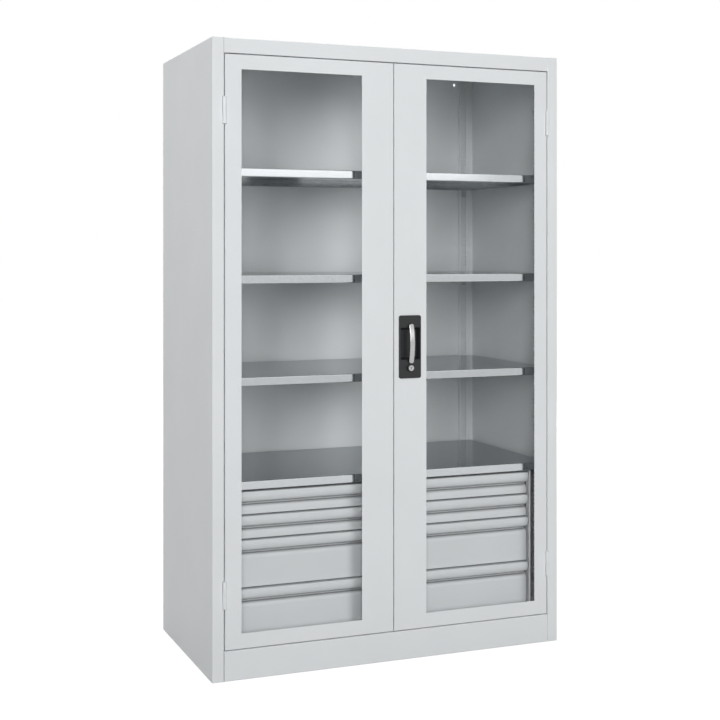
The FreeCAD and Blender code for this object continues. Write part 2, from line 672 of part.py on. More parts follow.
def buffers():
    """Soft pads on the stile's stop lip, right side."""
    x = LIP_HALF + STOP_LIP / 2
    length = STOP_DEPTH - DOOR_DEPTH - BUFFER_CLEAR
    return [cylinder(BUFFER_RADIUS, V(x, STOP_DEPTH - length, z), length, Y_AXIS) for z in BUFFER_HEIGHTS]


def magnets():
    """Flat magnets on the upper and lower stop that hold the left door shut."""
    length = STOP_DEPTH - DOOR_DEPTH - BUFFER_CLEAR
    x = (-MAGNET_OFFSET - MAGNET_WIDTH / 2, -MAGNET_OFFSET + MAGNET_WIDTH / 2)
    y = (STOP_DEPTH - length, STOP_DEPTH)
    upper = OPENING_TOP - (STOP_LIP + MAGNET_HEIGHT) / 2
    lower = FLOOR_TOP - (STOP_LIP + MAGNET_HEIGHT) / 2
    return [box(x, y, (upper, upper + MAGNET_HEIGHT)), box(x, y, (lower, lower + MAGNET_HEIGHT))]


def door_panel(window_x):
    """Right-hand door: one folded pan with returns behind and a window."""
    x = (DOOR_INNER_X, DOOR_OUTER_X)
    z = (DOOR_BOTTOM, DOOR_TOP)
    pan = box(x, (0, DOOR_DEPTH), z)
    pan = pan.makeFillet(DOOR_EDGE_RADIUS, edges_at_depth(pan, 0))
    hollow = box((x[0] + SHEET, x[1] - SHEET), (SHEET, DOOR_DEPTH - SHEET), (z[0] + SHEET, z[1] - SHEET))
    mouth = box((x[0] + DOOR_RETURN, x[1] - DOOR_RETURN), (SHEET, DOOR_DEPTH + CUT_PAST),
                (z[0] + DOOR_RETURN, z[1] - DOOR_RETURN))
    pan = without(pan, [hollow, mouth])
    pan = without(pan, [box(window_x, (-CUT_PAST, SHEET + CUT_PAST), WINDOW_Z)])
    rim = [edge for edge in edges_at_depth(pan, 0)
           if window_x[0] - 1 < edge.CenterOfMass.x < window_x[1] + 1
           and WINDOW_Z[0] - 1 < edge.CenterOfMass.z < WINDOW_Z[1] + 1]
    pan = pan.makeFillet(WINDOW_EDGE_RADIUS, rim)
    return without(pan, hinge_notch(0, HINGE_LENGTH / 2))


def lock_door_panel():
    """The right door with its openings for handle, lock cylinder and rods."""
    well = box((HANDLE_CENTRE_X - WELL_HALF, HANDLE_CENTRE_X + WELL_HALF), (-CUT_PAST, SHEET + CUT_PAST),
               (FINGER_BOTTOM - WELL_RIM, FINGER_TOP + WELL_RIM))
    through = SHEET + 2 * CUT_PAST
    spindle = cylinder(SPINDLE_RADIUS + CUTOUT_CLEAR, V(HANDLE_CENTRE_X, -CUT_PAST, PIVOT_Z), through, Y_AXIS)
    lock = cylinder(LOCK_RADIUS + CUTOUT_CLEAR, V(HANDLE_CENTRE_X, -CUT_PAST, LOCK_Z), through, Y_AXIS)
    upper = rod_slot(UPPER_ROD_X, (DOOR_TOP - DOOR_RETURN - CUT_PAST, DOOR_TOP + CUT_PAST), ROD_CLEAR)
    lower = rod_slot(LOWER_ROD_X, (DOOR_BOTTOM - CUT_PAST, DOOR_BOTTOM + DOOR_RETURN + CUT_PAST), ROD_CLEAR)
    return without(door_panel(WINDOW_X), [well, spindle, lock, upper, lower])


def window_pane():
    over = PANE_OVERLAP
    return box((WINDOW_X[0] - over, WINDOW_X[1] + over), (PANE_FRONT, PANE_FRONT + PANE),
               (WINDOW_Z[0] - over, WINDOW_Z[1] + over))


def window_seal():
    """Channel-shaped seal round the pane's edge, set back behind the door skin."""
    over = SEAL_WIDTH
    back = SEAL_SETBACK
    ring = box((WINDOW_X[0] - over, WINDOW_X[1] + over), (SHEET, SEAL_REAR),
               (WINDOW_Z[0] - over, WINDOW_Z[1] + over))
    ring = ring.makeFillet(BEND, edges_at_depth(ring, SEAL_REAR))
    middle = box((WINDOW_X[0] - back, WINDOW_X[1] + back), (SHEET - CUT_PAST, SEAL_REAR + CUT_PAST),
                 (WINDOW_Z[0] - back, WINDOW_Z[1] + back))
    return without(ring, [middle, window_pane()])


def stud_places(low, high, spacing):
    """Evenly spaced fixings along one retainer, half a space in from its ends."""
    count = max(1, round((high - low) / spacing))
    step = (high - low) / count
    return [low + (index + 0.5) * step for index in range(count)]


def retainer_studs():
    """Points on the inside of the door skin where the retainers are held."""
    points = []
    for x in (WINDOW_X[0] - STUD_OFFSET, WINDOW_X[1] + STUD_OFFSET):
        points += [V(x, SHEET, z) for z in stud_places(WINDOW_Z[0], WINDOW_Z[1], NUT_SPACING_UPRIGHT)]
    for z in (WINDOW_Z[0] - STUD_OFFSET, WINDOW_Z[1] + STUD_OFFSET):
        points += [V(x, SHEET, z) for x in stud_places(WINDOW_X[0], WINDOW_X[1], NUT_SPACING_ACROSS)]
    return points


def pane_retainers():
    """Four Z-shaped strips that press the seal against the door skin round the window."""
    lip, web, foot = SEAL_WIDTH - RETAINER_LIP, SEAL_WIDTH, RETAINER_WIDTH
    rear = SEAL_REAR + SHEET
    outline = [(lip, rear), (web + SHEET, rear), (web + SHEET, 2 * SHEET), (foot, 2 * SHEET)]
    upright_z = (WINDOW_Z[0] - RETAINER_WIDTH, WINDOW_Z[1] + RETAINER_WIDTH)
    right = folded(outline, SHEET, plan, V(0, 0, upright_z[1] - upright_z[0]))
    left = right.mirror(V(0, 0, 0), X_AXIS)
    right.translate(V(WINDOW_X[1], 0, upright_z[0]))
    left.translate(V(WINDOW_X[0], 0, upright_z[0]))
    span = (WINDOW_X[0] - lip + RETAINER_JOINT, WINDOW_X[1] + lip - RETAINER_JOINT)
    upper = folded(outline, SHEET, lambda u, v: V(0, v, u), V(span[1] - span[0], 0, 0))
    lower = upper.mirror(V(0, 0, 0), Z_AXIS)
    upper.translate(V(span[0], 0, WINDOW_Z[1]))
    lower.translate(V(span[0], 0, WINDOW_Z[0]))
    holes = [cylinder(STUD_RADIUS + STUD_CLEAR, point, 2 * SHEET, Y_AXIS) for point in retainer_studs()]
    return [without(strip, holes) for strip in (left, right, lower, upper)]


def retainer_nuts():
    """Welded studs with their nuts."""
    nuts = []
    for point in retainer_studs():
        corner = NUT_FLATS / math.sqrt(3)
        corners = [V(corner * math.cos(math.radians(60 * k)), 0, corner * math.sin(math.radians(60 * k)))
                   for k in range(7)]
        nut = Part.Face(Part.makePolygon(corners)).extrude(V(0, NUT_HEIGHT, 0))
        nut.translate(point + V(0, SHEET, 0))
        nuts.append(joined([nut, cylinder(STUD_RADIUS, point, STUD_LENGTH, Y_AXIS)]))
    return nuts


def drafted_block(y, wall):
    """The finger well's sloped sides between two depths, further out by a wall."""
    limits = []
    for depth in y:
        drawn_in = DRAFT_SLOPE * (depth + HANDLE_PROUD) - wall
        half = FINGER_WIDTH / 2 - drawn_in
        limits.append((HANDLE_CENTRE_X - half, HANDLE_CENTRE_X + half, FINGER_BOTTOM + drawn_in,
                       FINGER_TOP - drawn_in))
    (left, right, low, high), (rear_left, rear_right, rear_low, rear_high) = limits
    return Part.makeWedge(left, y[0], low, rear_low, rear_left, right, y[1], high, rear_high, rear_right)


def handle_housing():
    """Moulded plate with a finger well and a boss for the lock, on the face of the right door."""
    x = (HANDLE_CENTRE_X - HANDLE_WIDTH / 2, HANDLE_CENTRE_X + HANDLE_WIDTH / 2)
    z = (HANDLE_CENTRE_Z - HANDLE_HEIGHT / 2, HANDLE_CENTRE_Z + HANDLE_HEIGHT / 2)
    plate = rounded_block(x, (-HANDLE_PROUD, 0), z, HANDLE_CORNER)
    plate = plate.makeFillet(HANDLE_EDGE, edges_at_depth(plate, -HANDLE_PROUD))
    shell = drafted_block((-FINGER_WALL, FINGER_DEPTH + FINGER_WALL), FINGER_WALL)
    well = drafted_block((-HANDLE_PROUD - CUT_PAST, FINGER_DEPTH), 0)
    well = well.makeFillet(FINGER_CORNER, edges_at_depth(well, FINGER_DEPTH))
    boss = cylinder(LOCK_BOSS_RADIUS, V(HANDLE_CENTRE_X, LOCK_SEAT, LOCK_Z), LOCK_BOSS + HANDLE_PROUD, Y_AXIS)
    boss = boss.makeFillet(LOCK_BOSS_EDGE, edges_at_depth(boss, LOCK_SEAT))
    spindle = cylinder(SPINDLE_RADIUS + SPINDLE_CLEAR, V(HANDLE_CENTRE_X, -HANDLE_PROUD - CUT_PAST, PIVOT_Z),
                       HANDLE_PROUD + 2 * CUT_PAST, Y_AXIS)
    lock = cylinder(LOCK_RADIUS + LOCK_CLEAR, V(HANDLE_CENTRE_X, LOCK_SEAT - CUT_PAST, LOCK_Z),
                    2 * CUT_PAST - LOCK_SEAT, Y_AXIS)
    return without(joined([plate, shell, boss]), [well, spindle, lock])


def handle_spindle():
    """Shaft with a tongue for the lever in front and a journal behind."""
    face = V(HANDLE_CENTRE_X, -HANDLE_PROUD, PIVOT_Z)
    shaft = cylinder(SPINDLE_RADIUS, face, HANDLE_PROUD + CAM_FRONT, Y_AXIS)
    journal = cylinder(JOURNAL_RADIUS, V(HANDLE_CENTRE_X, CAM_FRONT, PIVOT_Z),
                       CASE_REAR + CASE_SHEET - CAM_FRONT, Y_AXIS)
    left = HANDLE_CENTRE_X - TONGUE_WIDTH / 2
    tip = cylinder(TONGUE_RADIUS, V(left, LEVER_PIN_Y, PIVOT_Z), TONGUE_WIDTH, X_AXIS)
    neck = box((left, left + TONGUE_WIDTH), (LEVER_PIN_Y, -HANDLE_PROUD),
               (PIVOT_Z - TONGUE_RADIUS, PIVOT_Z + TONGUE_RADIUS))
    hole = cylinder(LEVER_PIN_RADIUS + LEVER_PIN_CLEAR, V(left - CUT_PAST, LEVER_PIN_Y, PIVOT_Z),
                    TONGUE_WIDTH + 2 * CUT_PAST, X_AXIS)
    return without(joined([shaft, journal, tip, neck]), [hole])


def lever_pin():
    return cylinder(LEVER_PIN_RADIUS, V(HANDLE_CENTRE_X - LEVER_PIN_LENGTH / 2, LEVER_PIN_Y, PIVOT_Z),
                    LEVER_PIN_LENGTH, X_AXIS)


def handle_lever():
    """Bow that arches over the finger well, hinged on the spindle's tongue."""
    low, high = LEVER_BOTTOM, LEVER_TOP
    middle = (low + high) / 2
    inner, outer = -LEVER_FACE, -LEVER_FACE - LEVER_THICKNESS
    edges = [Part.Arc(V(0, inner, low), V(0, inner - LEVER_BOW, middle), V(0, inner, high)).toShape(),
             Part.makeLine(V(0, inner, high), V(0, outer, high)),
             Part.Arc(V(0, outer, high), V(0, outer - LEVER_BOW, middle), V(0, outer, low)).toShape(),
             Part.makeLine(V(0, outer, low), V(0, inner, low))]
    bow = Part.Face(Part.Wire(edges)).extrude(V(LEVER_WIDTH, 0, 0))
    left = HANDLE_CENTRE_X - LEVER_WIDTH / 2
    bow.translate(V(left, 0, 0))
    arcs = [edge for edge in bow.Edges if isinstance(edge.Curve, Part.Circle)]
    bow = bow.makeFillet(LEVER_EDGE, arcs)
    ends = rounded_block((left, left + LEVER_WIDTH), (-LEVER_REACH - CUT_PAST, 0), (low, high),
                         LEVER_END_RADIUS)
    bow = bow.common(ends).Solids[0]
    half = TONGUE_WIDTH / 2 + TONGUE_SIDE_CLEAR
    pocket = box((HANDLE_CENTRE_X - half, HANDLE_CENTRE_X + half),
                 (LEVER_PIN_Y - TONGUE_RADIUS - TONGUE_TIP_CLEAR, 0),
                 (PIVOT_Z - TONGUE_SWING, PIVOT_Z + TONGUE_SWING))
    return without(bow, [pocket, lever_pin()])


def lock_cylinder():
    plug = cylinder(LOCK_RADIUS, V(HANDLE_CENTRE_X, LOCK_SEAT, LOCK_Z), LOCK_REAR - LOCK_SEAT, Y_AXIS)
    face = LOCK_SEAT - LOCK_FLANGE
    flange = cylinder(LOCK_RADIUS + LOCK_FLANGE_LIP, V(HANDLE_CENTRE_X, face, LOCK_Z), LOCK_FLANGE, Y_AXIS)
    flange = flange.makeFillet(LOCK_FLANGE / 2, edges_at_depth(flange, face))
    keyhole = box((HANDLE_CENTRE_X - KEYHOLE_WIDTH / 2, HANDLE_CENTRE_X + KEYHOLE_WIDTH / 2),
                  (face - CUT_PAST, face + KEYHOLE_DEPTH),
                  (LOCK_Z - KEYHOLE_HEIGHT / 2, LOCK_Z + KEYHOLE_HEIGHT / 2))
    recess = cylinder(KEY_RECESS_RADIUS, V(HANDLE_CENTRE_X, face - CUT_PAST, LOCK_Z), KEY_RECESS + CUT_PAST,
                      Y_AXIS)
    return without(joined([plug, flange]), [keyhole, recess])


def lock_cam():
    """Disc on the spindle's journal with a pin for each rod."""
    centre = V(HANDLE_CENTRE_X, CAM_FRONT, PIVOT_Z)
    disc = cylinder(CAM_RADIUS, centre, CAM_THICKNESS, Y_AXIS)
    to_pin = V(-PIN_SIDE, 0, PIN_RISE)
    length = ROD_REAR + CAM_PIN_PAST - CAM_FRONT
    upper = cylinder(CAM_PIN_RADIUS, centre + to_pin, length, Y_AXIS)
    lower = cylinder(CAM_PIN_RADIUS, centre - to_pin, length, Y_AXIS)
    bore = cylinder(JOURNAL_RADIUS, V(HANDLE_CENTRE_X, CAM_FRONT - CUT_PAST, PIVOT_Z),
                    CAM_THICKNESS + 2 * CUT_PAST, Y_AXIS)
    return without(joined([disc, upper, lower]), [bore])


def lock_rod(side, tip):
    """Flat rod with a fork for its cam pin; side is -1 for the upper rod and 1 for the lower."""
    pin_z = PIVOT_Z - side * PIN_RISE
    y = (ROD_FRONT, ROD_REAR)
    fork_x = sorted((HANDLE_CENTRE_X + side * FORK_INNER, HANDLE_CENTRE_X + side * FORK_OUTER))
    fork = box(fork_x, y, (pin_z - FORK_HEIGHT / 2, pin_z + FORK_HEIGHT / 2))
    bar_x = sorted((HANDLE_CENTRE_X + side * (FORK_OUTER - ROD_WIDTH), HANDLE_CENTRE_X + side * FORK_OUTER))
    bar = box(bar_x, y, sorted((pin_z - side * FORK_HEIGHT / 2, tip)))
    slot_half = CAM_PIN_RADIUS + FORK_CLEAR
    slot_end = HANDLE_CENTRE_X + side * (CAM_PIN_CIRCLE + slot_half)
    slot = box(sorted((HANDLE_CENTRE_X, slot_end)), (ROD_FRONT - CUT_PAST, ROD_REAR + CUT_PAST),
               (pin_z - slot_half, pin_z + slot_half))
    return without(joined([fork, bar]), [slot])


def rod_keepers():
    """Plates behind the frame's returns that the rods lock into."""
    middle_y = (ROD_FRONT + ROD_REAR) / 2
    y = (middle_y - KEEPER_DEPTH / 2, middle_y + KEEPER_DEPTH / 2)
    keepers = []
    lower_z = PLINTH_HEIGHT - SHEET - KEEPER_THICKNESS
    for centre, low in ((UPPER_ROD_X, OPENING_TOP + SHEET), (LOWER_ROD_X, lower_z)):
        x = (centre - KEEPER_LENGTH / 2, centre + KEEPER_LENGTH / 2)
        plate = box(x, y, (low, low + KEEPER_THICKNESS))
        hole = rod_slot(centre, (low - CUT_PAST, low + KEEPER_THICKNESS + CUT_PAST), KEEPER_CLEAR)
        keepers.append(without(plate, [hole]))
    return keepers


def rod_guides():
    """Blocks on the inside of the door that the rods slide through."""
    guides = []
    half = ROD_WIDTH / 2 + GUIDE_WALL
    upper = (PIVOT_Z + GUIDE_NEAR, DOOR_TOP - GUIDE_END_INSET)
    lower = (PIVOT_Z - GUIDE_NEAR, DOOR_BOTTOM + GUIDE_END_INSET)
    for centre, heights in ((UPPER_ROD_X, upper), (LOWER_ROD_X, lower)):
        for height in heights:
            z = (height - GUIDE_HEIGHT / 2, height + GUIDE_HEIGHT / 2)
            block = box((centre - half, centre + half), (SHEET, ROD_REAR + SHEET), z)
            hole = rod_slot(centre, (z[0] - CUT_PAST, z[1] + CUT_PAST), ROD_CLEAR)
            guides.append(without(block, [hole]))
    return guides


def lock_case():
    """Bracket across the cam that carries the spindle's journal."""
    half = CASE_WIDTH / 2
    x = (HANDLE_CENTRE_X - half, HANDLE_CENTRE_X + half)
    z = (CASE_BOTTOM, PIVOT_Z + CASE_RISE)
    shell = box(x, (SHEET, CASE_REAR + CASE_SHEET), z)
    hollow = box((x[0] + CASE_SHEET, x[1] - CASE_SHEET), (0, CASE_REAR), (z[0] - CUT_PAST, z[1] + CUT_PAST))
    bearing = cylinder(JOURNAL_RADIUS + SPINDLE_CLEAR, V(HANDLE_CENTRE_X, CASE_REAR - CUT_PAST, PIVOT_Z),
                       CASE_SHEET + 2 * CUT_PAST, Y_AXIS)
    return without(shell, [hollow, bearing])


def save_carcass():
    side = right_side_panel()
    save("left_side_panel", mirrored(side))
    save("right_side_panel", side)
    save("back_panel", back_panel())
    save("top_panel", top_panel())
    save("floor_panel", floor_panel())
    save("plinth", plinth())
    rail = rear_rail()
    save("rear_shelf_rails", *both_sides(rail))
    save("front_shelf_rails", *both_sides(to_front_rail(rail)))
    for number, slot in enumerate(SHELF_SLOTS, 1):
        save("shelf_%d" % number, shelf(shelf_top(slot)))
    save("shelf_%d" % (len(SHELF_SLOTS) + 1), shelf(COVER_BOTTOM + SHELF_EDGE))
    save("shelf_clips", *shelf_clips())
    carrier = right_carrier()
    save("left_drawer_carrier", mirrored(carrier))
    save("right_drawer_carrier", carrier)
    pads = buffers()
    save("door_buffers", *(pads + [mirrored(pad) for pad in pads]))
    save("magnet_catches", *magnets())
    save("rod_keepers", *rod_keepers())


def save_hinges():
    half = HINGE_LENGTH / 2
    frame = [knuckle(height, -half, -HINGE_SPLIT / 2, False) for height in HINGE_HEIGHTS]
    door = [knuckle(height, HINGE_SPLIT / 2, half, True) for height in HINGE_HEIGHTS]
    pins = [hinge_pin(height) for height in HINGE_HEIGHTS]
    save("hinge_frame_leaves", *(frame + [mirrored(leaf) for leaf in frame]))
    save("hinge_pins", *(pins + [mirrored(pin) for pin in pins]))
    save("left_hinge_leaves", *[mirrored(leaf) for leaf in door])
    save("right_hinge_leaves", *door)


def save_doors():
    """The left window sits nearer the middle: the right door's stile is wider, for the lock."""
    left_window = (WINDOW_X[0] - WINDOW_LEFT_SHIFT, WINDOW_X[1] - WINDOW_LEFT_SHIFT)
    to_left_window = V(WINDOW_LEFT_SHIFT, 0, 0)
    save("left_door_panel", mirrored(door_panel(left_window)))
    save("right_door_panel", lock_door_panel())
    sets = (("window_pane", [window_pane()]), ("window_seal", [window_seal()]),
            ("pane_retainers", pane_retainers()), ("retainer_nuts", retainer_nuts()))
    for name, solids in sets:
        save("left_" + name, *[mirrored(solid).translated(to_left_window) for solid in solids])
        save("right_" + name, *solids)


def save_lock():
    save("handle_housing", handle_housing())
    save("handle_spindle", handle_spindle())
    save("handle_lever", handle_lever())
    save("lever_pin", lever_pin())
    save("lock_cylinder", lock_cylinder())
    save("lock_cam", lock_cam())
    save("lock_case", lock_case())
    save("upper_lock_rod", lock_rod(-1, OPENING_TOP - ROD_TIP_CLEAR))
    save("lower_lock_rod", lock_rod(1, PLINTH_HEIGHT + ROD_TIP_CLEAR))
    save("rod_guides", *rod_guides())


def save_drawers():
    outer_rails = []
    for number, (top, height) in enumerate(zip(drawer_tops(), DRAWER_FRONT_HEIGHTS), 1):
        outer, middle, runner = slide_members(top, height)
        outer_rails += both_sides(outer)
        save("drawer_%d_front" % number, drawer_front(top, height))
        save("drawer_%d_tray" % number, *drawer_tray(top, height))
        save("drawer_%d_runners" % number, *both_sides(runner))
        save("drawer_%d_middle_rails" % number, *both_sides(middle))
    save("slide_outer_rails", *outer_rails)


os.makedirs("parts", exist_ok=True)
save_carcass()
save_hinges()
save_doors()
save_lock()
save_drawers()
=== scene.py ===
"""Looks of the storage cabinet: materials for the CAD pieces, floor, studio light and camera."""
import json
import math

import bpy
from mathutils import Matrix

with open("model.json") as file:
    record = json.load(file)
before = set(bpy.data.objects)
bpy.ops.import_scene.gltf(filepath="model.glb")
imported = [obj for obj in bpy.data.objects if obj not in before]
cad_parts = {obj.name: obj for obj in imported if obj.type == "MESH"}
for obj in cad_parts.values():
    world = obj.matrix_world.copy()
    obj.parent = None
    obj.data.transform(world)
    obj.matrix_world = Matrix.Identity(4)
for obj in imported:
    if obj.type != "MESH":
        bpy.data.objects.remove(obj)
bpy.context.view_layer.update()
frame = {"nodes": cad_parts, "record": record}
nodes = frame["nodes"]

# Lengths are metres, and the scale of a texture is in cells per metre

# Camera of the photograph, with its focal length and centre in pixels of a square picture
CAMERA_PLACE = (-1.69417, -3.99871, 1.29735)
CAMERA_YAW = -0.367914
FOCAL_PIXELS = 1280.112
CENTRE_PIXEL = (316.491, 253.037)
PICTURE = 720
SENSOR = 36.0
CLIP_NEAR = 0.05
CLIP_FAR = 200

# World and floor: little light on the cabinet, white where they are seen
WHITE = (1, 1, 1, 1)
WORLD_LEVEL = 0.05
BACKGROUND_WHITE = 1.0
FLOOR_SIZE = 60
FLOOR_ALBEDO = 0.28
FLOOR_ROUGHNESS = 0.9
FLOOR_LIFT = 0.88
FLOOR_MIRRORED = 0.84
FLOOR_NEAR = 2.5
FLOOR_FAR = 7.0

# Lamps: most stand in one plane before the cabinet and face the middle of its front
FRONT_LAMPS_Y = -6.5
FRONT_MIDDLE = (0, -0.3, 1.0)

# Base colours
COAT_GREY = (0.80, 0.824, 0.836)
# The drawers' light grey coat is set darker than the coat grey: painted shade for the drawers inside
# the cabinet
SHADED_DRAWER_GREY = (0.67, 0.694, 0.706)
GALVANISED_GREY = (0.53, 0.55, 0.565)
ZINC_GREY = (0.62, 0.63, 0.65)
SATIN_GREY = (0.47, 0.47, 0.47)
PLASTIC_BLACK = (0.011, 0.012, 0.013)
RUBBER_BLACK = (0.03, 0.03, 0.03)
ACRYLIC_TINT = (0.9, 0.95, 0.95, 1)

# Values of a noise texture that count as its darkest and lightest
NOISE_LOW = 0.3
NOISE_HIGH = 0.7

# Powder coat: faint clouds, orange peel, uneven gloss
CLOUD_SCALE = 5.0
CLOUD_DETAIL = 3.0
CLOUD_TONES = (0.985, 1.015)
PEEL_SCALE = 420.0
PEEL_DETAIL = 1.0
PEEL_HEIGHT = 0.00012
PEEL_STRENGTH = 0.35
COAT_GLOSS_SCALE = 60.0
COAT_ROUGHNESS = (0.40, 0.48)

# Painted shade in tight corners of the drawer coat, standing in for the shadow lines under the
# drawers'
# grips: how near the folds are, how open a corner is where it is full and where it ends, its tone
CORNER_REACH = 0.026
CORNER_TIGHT = 0.33
CORNER_OPEN = 0.73
CORNER_SHADE = 0.3
CORNER_SAMPLES = 8

# Galvanised sheet: crystals, slight waves, and the reflection at a glancing angle
CRYSTAL_SCALE = 95.0
CRYSTAL_TONES = (0.98, 1.02)
CRYSTAL_ROUGHNESS = (0.10, 0.15)
SHEET_WAVE_SCALE = 40.0
SHEET_WAVE_HEIGHT = 0.00002
SHEET_WAVE_STRENGTH = 0.05
GLANCING_TINT = (0.7, 0.71, 0.72, 1)

# Drawn metal: lines along its grain, whose scale is given along each axis
GRAIN_DETAIL = 3.0
GRAIN_TONES = (0.94, 1.05)
GRAIN_ROUGHNESS_SHARES = (0.85, 1.2)
GRAIN_HEIGHT = 0.00003
GRAIN_STRENGTH = 0.2
ZINC_GRAIN = (60, 60, 600)
ZINC_ROUGHNESS = 0.32
SATIN_GRAIN = (1500, 1500, 40)
SATIN_ROUGHNESS = 0.25

# Moulded plastic and rubber: grain of the mould and faint clouds
MOULD_SCALE = 1800.0
MOULD_HEIGHT = 0.00006
MOULD_STRENGTH = 0.25
MOULD_SMOOTHER = 0.05
MOULD_ROUGHER = 0.06
PLASTIC_CLOUD_SCALE = 30.0
PLASTIC_TONES = (0.92, 1.08)
PLASTIC_ROUGHNESS = 0.4
PLASTIC_GLOSS = 0.45
RUBBER_ROUGHNESS = 0.65
RUBBER_GLOSS = 0.3

# Clear pane
ACRYLIC_ALPHA = 0.012
HAZE_SCALE = 4.0
HAZE_ROUGHNESS = (0.03, 0.06)


def new_material(name):
    """A material with its shader and its texture place in metres of the cabinet's frame."""
    material = bpy.data.materials.new(name)
    material.use_nodes = True
    tree = material.node_tree
    shader = tree.nodes["Principled BSDF"]
    place = tree.nodes.new("ShaderNodeTexCoord").outputs["Object"]
    return material, tree, shader, place


def stretched(tree, place, scale):
    """A texture place scaled along each axis."""
    mapping = tree.nodes.new("ShaderNodeMapping")
    mapping.inputs["Scale"].default_value = scale
    tree.links.new(place, mapping.inputs["Vector"])
    return mapping.outputs["Vector"]


def noise(tree, place, scale, detail=2.0):
    """A noise texture's value."""
    node = tree.nodes.new("ShaderNodeTexNoise")
    node.inputs["Scale"].default_value = scale
    node.inputs["Detail"].default_value = detail
    tree.links.new(place, node.inputs["Vector"])
    return node.outputs["Fac"]


def ranged(tree, value, low, high, start=NOISE_LOW, end=NOISE_HIGH):
    """A texture's values from start to end, spread between two numbers."""
    node = tree.nodes.new("ShaderNodeMapRange")
    node.inputs["From Min"].default_value = start
    node.inputs["From Max"].default_value = end
    node.inputs["To Min"].default_value = low
    node.inputs["To Max"].default_value = high
    tree.links.new(value, node.inputs["Value"])
    return node.outputs["Result"]


def shade(colour, factor):
    """A colour made darker or lighter."""
    return tuple(channel * factor for channel in colour)


def toned(tree, value, colour, tones):
    """A colour that goes from its darker to its lighter tone by a value between 0 and 1."""
    node = tree.nodes.new("ShaderNodeMix")
    node.data_type = "RGBA"
    node.inputs["A"].default_value = (*shade(colour, tones[0]), 1)
    node.inputs["B"].default_value = (*shade(colour, tones[1]), 1)
    tree.links.new(value, node.inputs["Factor"])
    return node.outputs["Result"]


def bumped(tree, shader, height, distance, strength):
    """Fine relief on a shader."""
    node = tree.nodes.new("ShaderNodeBump")
    node.inputs["Distance"].default_value = distance
    node.inputs["Strength"].default_value = strength
    tree.links.new(height, node.inputs["Height"])
    tree.links.new(node.outputs["Normal"], shader.inputs["Normal"])


def painted_corner_shade(tree, open_colour, painted_shade_colour):
    """Painted shade: a colour that darkens where the piece's own folds stand close together."""
    corner = tree.nodes.new("ShaderNodeAmbientOcclusion")
    corner.only_local = True
    corner.samples = CORNER_SAMPLES
    corner.inputs["Distance"].default_value = CORNER_REACH
    openness = ranged(tree, corner.outputs["AO"], 0, 1, CORNER_TIGHT, CORNER_OPEN)
    node = tree.nodes.new("ShaderNodeMix")
    node.data_type = "RGBA"
    tree.links.new(openness, node.inputs["Factor"])
    node.inputs["A"].default_value = (*painted_shade_colour, 1)
    tree.links.new(open_colour, node.inputs["B"])
    return node.outputs["Result"]


def powder_coat(name, colour, with_painted_corner_shade=False):
    """Light powder coat: orange peel a few millimetres across and a faint cloudiness; painted shade
    in tight corners if asked.
    """
    material, tree, shader, place = new_material(name)
    cloud = noise(tree, place, CLOUD_SCALE, CLOUD_DETAIL)
    coat = toned(tree, ranged(tree, cloud, 0, 1), colour, CLOUD_TONES)
    # Painted shade: the coat darkens where its own folds stand close together
    if with_painted_corner_shade:
        coat = painted_corner_shade(tree, coat, shade(colour, CORNER_SHADE))
    tree.links.new(coat, shader.inputs["Base Color"])
    gloss = noise(tree, place, COAT_GLOSS_SCALE)
    tree.links.new(ranged(tree, gloss, *COAT_ROUGHNESS), shader.inputs["Roughness"])
    peel = noise(tree, place, PEEL_SCALE, PEEL_DETAIL)
    bumped(tree, shader, peel, PEEL_HEIGHT, PEEL_STRENGTH)
    return material


def galvanised_sheet(name, colour):
    """Bright galvanised sheet with its flat crystals."""
    material, tree, shader, place = new_material(name)
    crystal = tree.nodes.new("ShaderNodeTexVoronoi")
    crystal.inputs["Scale"].default_value = CRYSTAL_SCALE
    tree.links.new(place, crystal.inputs["Vector"])
    grey = tree.nodes.new("ShaderNodeRGBToBW")
    tree.links.new(crystal.outputs["Color"], grey.inputs["Color"])
    tone = grey.outputs["Val"]
    tree.links.new(toned(tree, tone, colour, CRYSTAL_TONES), shader.inputs["Base Color"])
    tree.links.new(ranged(tree, tone, *CRYSTAL_ROUGHNESS, 0, 1), shader.inputs["Roughness"])
    shader.inputs["Metallic"].default_value = 1.0
    shader.inputs["Specular Tint"].default_value = GLANCING_TINT
    wave = noise(tree, place, SHEET_WAVE_SCALE)
    bumped(tree, shader, wave, SHEET_WAVE_HEIGHT, SHEET_WAVE_STRENGTH)
    return material


def drawn_metal(name, colour, roughness, grain):
    """Metal with fine lines along one direction; grain is the texture's scale along each axis."""
    material, tree, shader, place = new_material(name)
    lines = noise(tree, stretched(tree, place, grain), 1.0, GRAIN_DETAIL)
    tone = ranged(tree, lines, 0, 1)
    tree.links.new(toned(tree, tone, colour, GRAIN_TONES), shader.inputs["Base Color"])
    smoother, rougher = GRAIN_ROUGHNESS_SHARES
    uneven = ranged(tree, lines, roughness * smoother, roughness * rougher)
    tree.links.new(uneven, shader.inputs["Roughness"])
    shader.inputs["Metallic"].default_value = 1.0
    bumped(tree, shader, lines, GRAIN_HEIGHT, GRAIN_STRENGTH)
    return material


def moulded_plastic(name, colour, roughness, gloss):
    """Plastic or rubber with the fine grain of its mould."""
    material, tree, shader, place = new_material(name)
    grain = noise(tree, place, MOULD_SCALE)
    cloud = ranged(tree, noise(tree, place, PLASTIC_CLOUD_SCALE), 0, 1)
    tree.links.new(toned(tree, cloud, colour, PLASTIC_TONES), shader.inputs["Base Color"])
    uneven = ranged(tree, grain, roughness - MOULD_SMOOTHER, roughness + MOULD_ROUGHER)
    tree.links.new(uneven, shader.inputs["Roughness"])
    shader.inputs["Specular IOR Level"].default_value = gloss
    bumped(tree, shader, grain, MOULD_HEIGHT, MOULD_STRENGTH)
    return material


